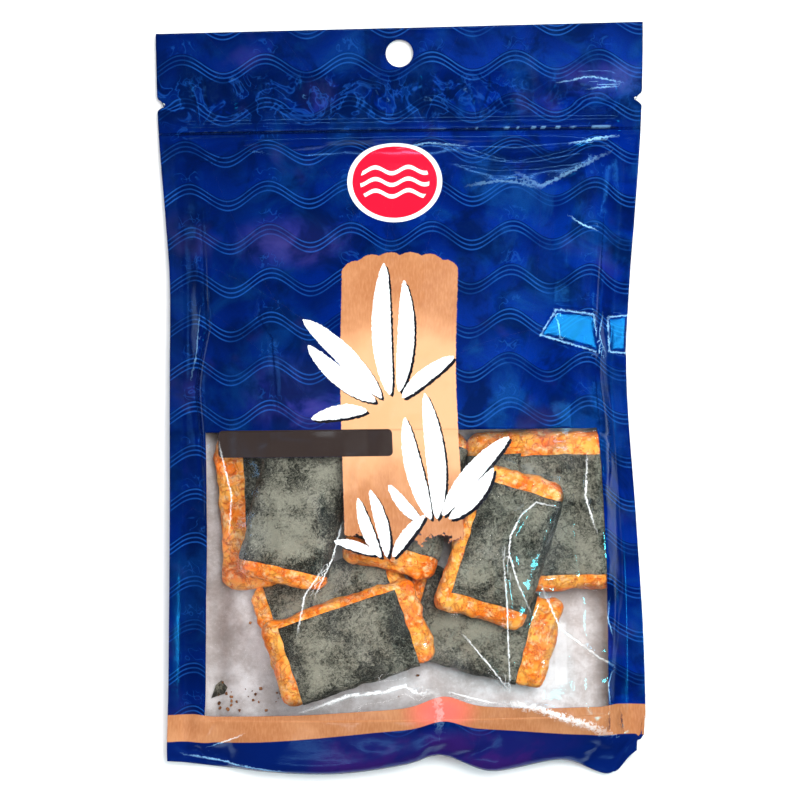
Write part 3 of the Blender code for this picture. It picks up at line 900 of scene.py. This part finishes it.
def spread(outline, u, v):
    """(x, y, cut): where each place of the flat film starts over the ground, and how far along the
    flat film it is once the wavy hem and the top edge are cut."""
    half = FILM_WIDTH / 2
    left, right = outline.edges(v)
    share = (u + half - SEAL) / (2 * (half - SEAL))
    x = (left + SEAL) * (1 - share) + (right - SEAL) * share
    x = np.where(u < -half + SEAL, left + (u + half), x)
    x = np.where(u > half - SEAL, right + (u - half), x)
    near_bottom = 1 - ease(v.min() - 3, v.min() + 16, v)
    near_top = ease(v.max() - 12, v.max(), v)
    y = v + near_bottom / near_bottom.max() * (np.interp(x, outline.xs, outline.bottoms) - v.min())
    y += near_top * (np.interp(x, outline.xs, outline.tops) - v.max())
    return x, y


def pair_sets(sheets, flat):
    """Every spring as (first points, second points, rest lengths, stiffness, only pushes)."""
    pairs = []

    def add(first, second, stiffness, push=False):
        first, second = (slice(None),) + first, (slice(None),) + second
        rest = np.linalg.norm(flat[second] - flat[first], axis=-1)
        pairs.append((sheets[first], sheets[second], rest, stiffness, push))

    rows, columns = flat.shape[1:3]
    everything = slice(None)
    for step, stiffness in ((1, 1.0), (2, 0.35), (4, 0.10)):
        for start in range(2 * step):
            for axis, size in ((0, rows), (1, columns)):
                count = len(range(start + step, size, 2 * step))
                first = slice(start, start + 2 * step * count, 2 * step)
                second = slice(start + step, size, 2 * step)
                if axis == 0:
                    add((first, everything), (second, everything), stiffness, step > 1)
                else:
                    add((everything, first), (everything, second), stiffness, step > 1)
    for start in (0, 1):
        count = len(range(start + 1, rows, 2))
        lower, upper = slice(start, start + 2 * count, 2), slice(start + 1, rows, 2)
        left, right = slice(0, columns - 1), slice(1, columns)
        add((lower, left), (upper, right), 0.6)
        add((lower, right), (upper, left), 0.6)
    return pairs


def relax(first, second, rest, stiffness, push):
    gap = second - first
    length = np.sqrt((gap * gap).sum(axis=-1)) + 1e-9
    error = 1 - rest / length
    if push:
        error = np.minimum(error, 0)
    move = gap * (0.5 * stiffness * error)[..., None]
    first += move
    second -= move


def film_state(outline, u, v):
    """(start, ceiling, flat): the two sheets over the ground at the solid's heights, how high each
    may rise, and the shape that gives the film its lengths."""
    x, y = spread(outline, u, v)
    inset_y = np.clip(y, None, y.max() - 0.4) + 0.4 * (1 - ease(v.min(), v.min() + 4, v))
    front = outline.heights(x * 0.997, inset_y, True)
    back = outline.heights(x * 0.997, inset_y, False)
    start = np.stack([np.stack([x, y, front], -1), np.stack([x, y, back], -1)])
    return start, front + FILM_ROOM, start * FILM_SLACK


def drape(outline, contents_top, contents_under):
    """Lets the film settle, first on a coarse grid and then on a finer one. Returns each place's
    flat position, for the print, and the two sheets."""
    u, v = film_grid()
    sheets = None
    for level, steps in enumerate(((160, 120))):
        if level:
            u, v = [doubled(doubled(grid, 0), 1) for grid in (u, v)]
            sheets = doubled(doubled(sheets, 1), 2)
        start, ceiling, flat = film_state(outline, u, v)
        if sheets is None:
            sheets = start.copy()
            wobble = np.stack([u.ravel(), v.ravel(), np.zeros(u.size)], -1)
            sheets[0, :, :, 2] += 0.5 * lumps(wobble, 14.0).reshape(u.shape) * fullness(start)
        settle(u, v, (start, ceiling, flat), sheets, steps, contents_top, contents_under)
    u, v = [doubled(doubled(grid, 0), 1) for grid in (u, v)]
    sheets = doubled(doubled(sheets, 1), 2)
    _, y = spread(outline, u, v)
    return u, v, y, sheets


def fullness(start):
    """0 where the sheets are sealed, 1 where the pouch is full."""
    return ease(0.8, 6.0, start[0, :, :, 2] - start[1, :, :, 2])


def settle(u, v, state, sheets, steps, contents_top, contents_under):
    """Position-based cloth: gas pushes the sheets apart, springs keep the film's size, and the
    contents, the ground and the seals hold it."""
    start, ceiling, flat = state
    pitch = u[0, 1] - u[0, 0]
    pairs = pair_sets(sheets, flat)
    gap = start[0, :, :, 2] - start[1, :, :, 2]
    sealed = (np.abs(u) > FILM_WIDTH / 2 - SEAL) | (v > HEADER_V) | (gap < 0.8)
    pinned = (np.abs(u) > FILM_WIDTH / 2 - 0.5 * pitch) | (v > ZIP_V[1] - 2) | (v < v.min() + 0.5)
    free = ~(sealed | pinned)
    gas = GAS * pitch * fullness(start) * (0.35 + 0.65 * ease(-30, 25, v))
    before = sheets.copy()
    for _ in range(steps):
        motion = (sheets - before) * 0.88
        before[...] = sheets
        sheets += motion
        sheets[0, :, :, 2] += gas
        sheets[1, :, :, 2] -= gas + 0.01
        for _ in range(6):
            for pair in pairs:
                relax(*pair)
            middle = (sheets[0] + sheets[1]) / 2
            for side in (0, 1):
                sheets[side][sealed] = middle[sealed]
                sheets[side][pinned] = start[side][pinned]
        top = contents_top.at(sheets[0, :, :, 0], sheets[0, :, :, 1])
        under = contents_under.at(sheets[1, :, :, 0], sheets[1, :, :, 1])
        front, back = sheets[0, :, :, 2], sheets[1, :, :, 2]
        back[free] = np.clip(back, 0.15, np.maximum(under - 0.4, 0.16))[free]
        lowest = np.maximum(top + 0.5, back + 0.4)
        front[free] = np.clip(front, lowest, np.maximum(ceiling, lowest))[free]


# ---------------------------------------------------------------- film pieces

def film_mesh(u, v, print_v, sheet, light_marks, lift, flip):
    """Points, quads, each point's flat place and painted light marks, and each quad's middle, for one sheet
    with its hanging hole."""
    rows, columns = u.shape
    pitch = u[0, 1] - u[0, 0]
    points = sheet.reshape(-1, 3) + (0, 0, lift)
    flat = np.stack([u.ravel(), print_v.ravel()], -1)
    number = np.arange(rows * columns).reshape(rows, columns)
    quads = np.stack([number[:-1, :-1], number[:-1, 1:], number[1:, 1:], number[1:, :-1]], -1)

    column = columns // 2
    hole = np.array((u[0, column], print_v[-1, column] - HOLE_DROP))
    row = int(np.argmin(np.abs(print_v[:, column] - hole[1])))
    reach = max(round(6.4 / pitch), 2)
    keep = np.ones(quads.shape[:2], bool)
    keep[row - reach:row + reach, column - reach:column + reach] = False
    run = range(-reach, reach)
    ring = (
        [(row - reach, column + k) for k in run] + [(row + k, column + reach) for k in run]
        + [(row + reach, column - k) for k in run] + [(row - k, column - reach) for k in run]
    )
    edge = np.array([number[key] for key in ring])
    angle = math.radians(225) + 2 * math.pi * np.arange(len(ring)) / len(ring)
    rim = hole + HOLE_RADIUS * np.stack([np.cos(angle), np.sin(angle)], -1)
    after = np.roll(np.arange(len(ring)), -1)
    outer, patches = edge, []
    for share in (0.5, 0.12, 0.0):
        place = flat[edge] * share + rim * (1 - share)
        moved = points[edge] + np.pad(place - flat[edge], ((0, 0), (0, 1)))
        inner = len(points) + np.arange(len(ring))
        points, flat = np.concatenate([points, moved]), np.concatenate([flat, place])
        patches.append(np.stack([outer, outer[after], inner[after], inner], -1))
        outer = inner
    faces = np.concatenate([quads[keep].reshape(-1, 4)] + patches)
    if flip:
        faces = faces[:, ::-1]
    light_marks = np.pad(light_marks.reshape(-1, 3), ((0, len(points) - rows * columns), (0, 0)))
    return points, faces, np.c_[flat, light_marks], flat[faces].mean(axis=1)


def cut_piece(name, points, faces, flat, materials):
    """A film piece from some of a sheet's faces, with a thickness."""
    used, compact = np.unique(faces, return_inverse=True)
    piece = make_piece(name, points[used], compact.reshape(-1, 4), materials)
    add_map(piece, "film", flat[used, :2])
    add_map(piece, "glint_and_shade", flat[used, 2:4] * (1, 0))
    add_map(piece, "crease_light_and_shade", flat[used, 3:5])
    thick = piece.modifiers.new("thickness", "SOLIDIFY")
    thick.thickness = FILM_THICKNESS * MM
    thick.offset = -1
    thick.material_offset = 1 if len(materials) > 1 else 0
    return piece


def follow(u, v, line):
    """How far each place is along a line of points, as a taper to nothing at its ends, and how far
    it is from the line, with a different sign on each side."""
    line = np.array(line, float)
    lengths = np.linalg.norm(np.diff(line, axis=0), axis=1)
    starts = np.concatenate([[0], np.cumsum(lengths)])
    away, along, side = np.full(u.shape, 99.0), np.zeros(u.shape), np.ones(u.shape)
    for start, first, second, length in zip(starts, line[:-1], line[1:], lengths):
        run = (second - first) / length
        t = np.clip((u - first[0]) * run[0] + (v - first[1]) * run[1], 0, length)
        distance = np.hypot(u - first[0] - run[0] * t, v - first[1] - run[1] * t)
        turned = np.sign((u - first[0]) * run[1] - (v - first[1]) * run[0])
        along = np.where(distance < away, start + t, along)
        side = np.where(distance < away, turned, side)
        away = np.minimum(distance, away)
    taper = np.sin(np.pi * np.clip(along / starts[-1], 0.02, 0.98)) ** 0.5
    return taper, side * away


def smoothed(values, reach):
    """Each row's values averaged with those of the rows up to reach away."""
    weights = np.hanning(2 * reach + 3)[1:-1]
    padded = np.pad(values, ((reach, reach), (0, 0)), mode="edge")
    total = sum(weight * padded[k:k + len(values)] for k, weight in enumerate(weights))
    return total / weights.sum()


def press_facet(u, v, front, corners):
    """Presses a facet flat, with a raised rim, and returns how far inside the facet each place is."""
    depth = np.full(u.shape, 99.0)
    for first, second in zip(corners, np.roll(corners, -1, axis=0)):
        run = second - first
        across = (u - first[0]) * run[1] - (v - first[1]) * run[0]
        depth = np.minimum(depth, across / math.hypot(run[0], run[1]))
    towards, steepness = (math.radians(angle) for angle in FACET_FALL)
    fall = (front[..., 0] * math.cos(towards) + front[..., 1] * math.sin(towards)) * math.tan(steepness)
    pressed = ease(-1.0, 0.3, depth)
    level = np.average(front[..., 2] + fall, weights=pressed)
    front[..., 2] += pressed * (level - fall - front[..., 2]) + 0.15 * np.exp(-np.abs(depth) / 0.5)
    return depth


def finish_sheets(u, v, sheets, contents_top):
    """Adds the crumples, creases, facet, the closure's ridges, the crimps and the notches, which are
    finer than the simulation. Returns, for each place of the front, a mark that is a painted glint above
    zero and painted shade below zero, and the nearest crease's strength (a painted highlight on a ridge,
    or below zero painted shade in a fold) and its distance across."""
    front, back = sheets
    places = np.stack([u.ravel(), v.ravel(), np.zeros(u.size)], -1)

    def noise(stretch, size, shift=0.0):
        return lumps(places * stretch, size, shift).reshape(u.shape)

    full = fullness(sheets) * ease(0, 8, np.abs(v - HEADER_V))
    beside = ease(56, 64, np.abs(u)) * ease(-114, -104, v) * (1 - ease(78, 86, v))
    for side in (front, back):
        for axis in (0, 2):
            side[..., axis] += beside * (smoothed(side[..., axis], 14) - side[..., axis])
    for side, shift, sign in ((front, 3.0, 1), (back, 40.0, -1)):
        folds = 0.7 * np.abs(noise((1, 0.7, 1), 21.0, shift)) + 0.3 * np.abs(noise((0.8, 1, 1), 9.0, shift + 5))
        side[..., 2] += sign * full * (0.35 - folds + 0.14 * noise((1, 1, 1), 6.0, shift + 9))
    light_marks, strength, across = np.zeros(u.shape), np.zeros(u.shape), np.full(u.shape, 999.0)
    for line, height, width in CREASES:
        taper, away = follow(u, v, line)
        front[..., 2] += height * taper * np.exp(-np.abs(away) / width)
        half = 0.5 * width
        drawn = taper * (np.abs(away) < max(1.6, 3 * half))
        closer = np.abs(away / half) < np.abs(across)
        # Painted light along each crease: a highlight on a ridge, shade in a valley.
        strength = np.where(closer, np.clip(0.9 * height / width, -1, 1) * drawn, strength)
        across = np.where(closer, away / half, across)
    for corners in FACETS:
        depth = press_facet(u, v, front, np.array(corners))
        closer = np.abs(depth / 0.4) < np.abs(across)
        # A painted highlight along the facet's rim.
        strength = np.where(closer, 0.9 * (np.abs(depth) < 1.6), strength)
        across = np.where(closer, depth / 0.4, across)
    front[..., 2] = np.maximum(front[..., 2], contents_top.at(front[..., 0], front[..., 1]) + 0.4)

    crimped = ease(96, 98.5, v) * (1 - ease(105, 109, v)) * (1 - ease(68, 76, np.abs(u)))
    dents = ease(0.02, 0.42, noise((1, 0.42, 1), 4.4))
    puckers = 0.25 * noise((1, 1, 1), 2.1, 4.0) - 1.1 * dents
    # Painted shade in the crimp's dents.
    light_marks -= 3.6 * crimped * dents * (1 - dents) * (1 - ease(34, 50, u))
    blister = 1.5 * np.exp(-((u - 62.7) / 9.0) ** 2 - ((v - 104.4) / 2.0) ** 2)
    closed = 1 - ease(ZIP_ENDS - 3, ZIP_ENDS, np.abs(u))
    # Painted glints in dashes along the closure.
    glint_dashes = ease(0.10, 0.45, noise((1, 0, 1), 1.7, 6.0)) * (0.35 + 0.9 * ease(0, 50, u))
    light_marks += closed * glint_dashes * np.exp(-((v - ZIP_V[1] - 0.6) / 0.45) ** 2)
    for side, sign in ((front, 1), (back, -1)):
        side[..., 2] += sign * (crimped * (0.6 + puckers) + (blister if sign > 0 else 0))
        for line in ZIP_V:
            teeth = 1 + 0.5 * noise((1, 0, 1), 1.3, line)
            side[..., 2] += sign * closed * ZIP_HEIGHT * teeth * np.exp(-((v - line) / 0.7) ** 2)
        notch = NOTCH_DEPTH * np.clip(1 - np.abs(v - NOTCH_V) / 1.6, 0, 1)
        at_edge = np.abs(u) > FILM_WIDTH / 2 - 0.1
        side[..., 0] -= np.sign(u) * np.where(at_edge, notch, 0)
    sheets[..., 2] = np.maximum(sheets[..., 2], 0.2)
    back[..., 2] = np.minimum(back[..., 2], front[..., 2] - 0.3)
    return np.stack([light_marks, strength, across], -1)


def build_film(u, v, print_v, sheets, light_marks, materials):
    """The front panel, its window and the back panel."""
    printed, inner, clear = materials
    points, faces, flat, middles = film_mesh(u, v, print_v, sheets[0], light_marks, 0.14, False)
    in_window = (
        (middles[:, 0] > WINDOW_U[0]) & (middles[:, 0] < WINDOW_U[1])
        & (middles[:, 1] > WINDOW_V[0]) & (middles[:, 1] < WINDOW_V[1])
    )
    cut_piece("film_front", points, faces[~in_window], flat, [printed, inner])
    window = cut_piece("film_window", points, faces[in_window], flat, [clear])
    window.modifiers.clear()
    points, faces, flat, _ = film_mesh(u, v, print_v, sheets[1], 0 * light_marks, -0.14, True)
    cut_piece("film_back", points, faces, flat, [printed, inner])


def build_gusset(u, print_v, sheets, materials):
    """The folded panel that closes the bottom between the two sheets."""
    front, back = sheets[0, 0], sheets[1, 0]
    gap = ease(0.6, 9.0, front[:, 2] - back[:, 2])
    points, flat = [], []
    steps = 12
    for k in range(steps + 1):
        share = k / steps
        row = front * (1 - share) + back * share
        row[:, 1] += GUSSET_DEPTH * gap * math.sin(math.pi * share) ** 2
        points.append(row)
        flat.append(np.pad(np.stack([u[0], print_v[0] - 1.5 * k], -1), ((0, 0), (0, 3))))
    columns = u.shape[1]
    number = np.arange((steps + 1) * columns).reshape(steps + 1, columns)
    quads = np.stack([number[:-1, :-1], number[1:, :-1], number[1:, 1:], number[:-1, 1:]], -1).reshape(-1, 4)
    cut_piece("film_gusset", np.concatenate(points), quads, np.concatenate(flat), materials)


# ---------------------------------------------------------------- floor, light and camera

def area_light(name, place, size, power, colour=(1, 1, 1), mirrored=True):
    """A rectangle of light aimed at the pouch. One that isn't mirrored leaves no glare on the film."""
    data = bpy.data.lights.new(name, "AREA")
    data.shape = "RECTANGLE"
    data.size, data.size_y = size
    data.energy = power
    data.color = colour
    light = bpy.data.objects.new(name, data)
    light.location = place
    light.rotation_euler = (-Vector(place)).to_track_quat("-Z", "Y").to_euler()
    light.visible_glossy = mirrored
    bpy.context.scene.collection.objects.link(light)


def build_studio():
    mesh = bpy.data.meshes.new("floor")
    corners = [(x, y, -0.0002) for x, y in ((-3, -3), (3, -3), (3, 3), (-3, 3))]
    mesh.from_pydata(corners, [], [(0, 1, 2, 3)])
    mesh.materials.append(floor_material())
    floor = bpy.data.objects.new("floor", mesh)
    bpy.context.scene.collection.objects.link(floor)

    world = bpy.data.worlds.new("studio")
    world.use_nodes = True
    tree = world.node_tree
    aim = tree.nodes.new("ShaderNodeTexCoord").outputs["Generated"]
    parts = tree.nodes.new("ShaderNodeSeparateXYZ")
    ramp = tree.nodes.new("ShaderNodeMapRange")
    ramp.interpolation_type = "SMOOTHSTEP"
    for socket, value in zip(list(ramp.inputs)[1:5], (0.10, 0.80, 0.30, 0.02)):
        socket.default_value = value
    tree.links.new(aim, parts.inputs[0])
    tree.links.new(parts.outputs["Z"], ramp.inputs[0])
    tree.links.new(ramp.outputs[0], tree.nodes["Background"].inputs["Strength"])
    bpy.context.scene.world = world

    area_light("key", (0.30, 0.25, 1.25), (0.7, 0.7), 27, (1.0, 0.985, 0.96), False)
    area_light("fill", (-0.8, -0.2, 0.9), (0.8, 0.8), 9, (0.95, 0.97, 1.0), False)
    area_light("panel_right", (0.66, 0.30, 0.95), (0.30, 0.50), 0.40, (0.10, 0.50, 1.0))
    area_light("panel_left", (-0.55, 0.45, 0.90), (0.20, 0.50), 0.16, (0.15, 0.50, 1.0))
    area_light("card_blue", (0.864, -0.223, 0.874), (0.13, 0.13), 1.9, (0.10, 0.85, 1.0))
    area_light("strip_right", (1.00, 0.28, 0.62), (0.06, 0.40), 0.8, (0.20, 0.65, 1.0))
    area_light("strip_near", (-0.05, -0.88, 0.72), (0.5, 0.04), 0.4)
    area_light("strip_far", (0.15, 0.90, 0.74), (0.6, 0.05), 2.0, (0.85, 0.94, 1.0))
    area_light("strip_left", (-1.1, 0.1, 0.42), (0.06, 0.4), 0.3, (0.3, 0.6, 1.0))


def build_camera():
    """Looks straight down on the pouch, turned a little as the pouch was seen."""
    data = bpy.data.cameras.new("camera")
    distance = 1.1
    field = 0.264
    data.sensor_width = 36.0
    data.lens = data.sensor_width * distance / field
    camera = bpy.data.objects.new("camera", data)
    camera.location = (-0.00145, 0.0004, distance)
    camera.rotation_euler = (0, 0, math.radians(-0.8))
    bpy.context.scene.collection.objects.link(camera)
    bpy.context.scene.camera = camera
    bpy.context.scene.view_settings.view_transform = "Standard"


# ---------------------------------------------------------------- the pouch

def main():
    outline = Outline()
    cracker, nori = cracker_material(), nori_material()
    points, faces = build_crackers(cracker, nori)
    build_crumbs(crumb_material(), nori)
    contents_top = HeightMap(points, faces)
    u, v, print_v, sheets = drape(outline, contents_top, HeightMap(points, faces, False))
    light_marks = finish_sheets(u, v, sheets, contents_top)
    printed, inner, clear = printed_film(), inner_film(), window_film()
    build_film(u, v, print_v, sheets, light_marks, (printed, inner, clear))
    build_gusset(u, print_v, sheets, [printed, inner])
    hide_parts("pouch")
    build_studio()
    build_camera()


main()
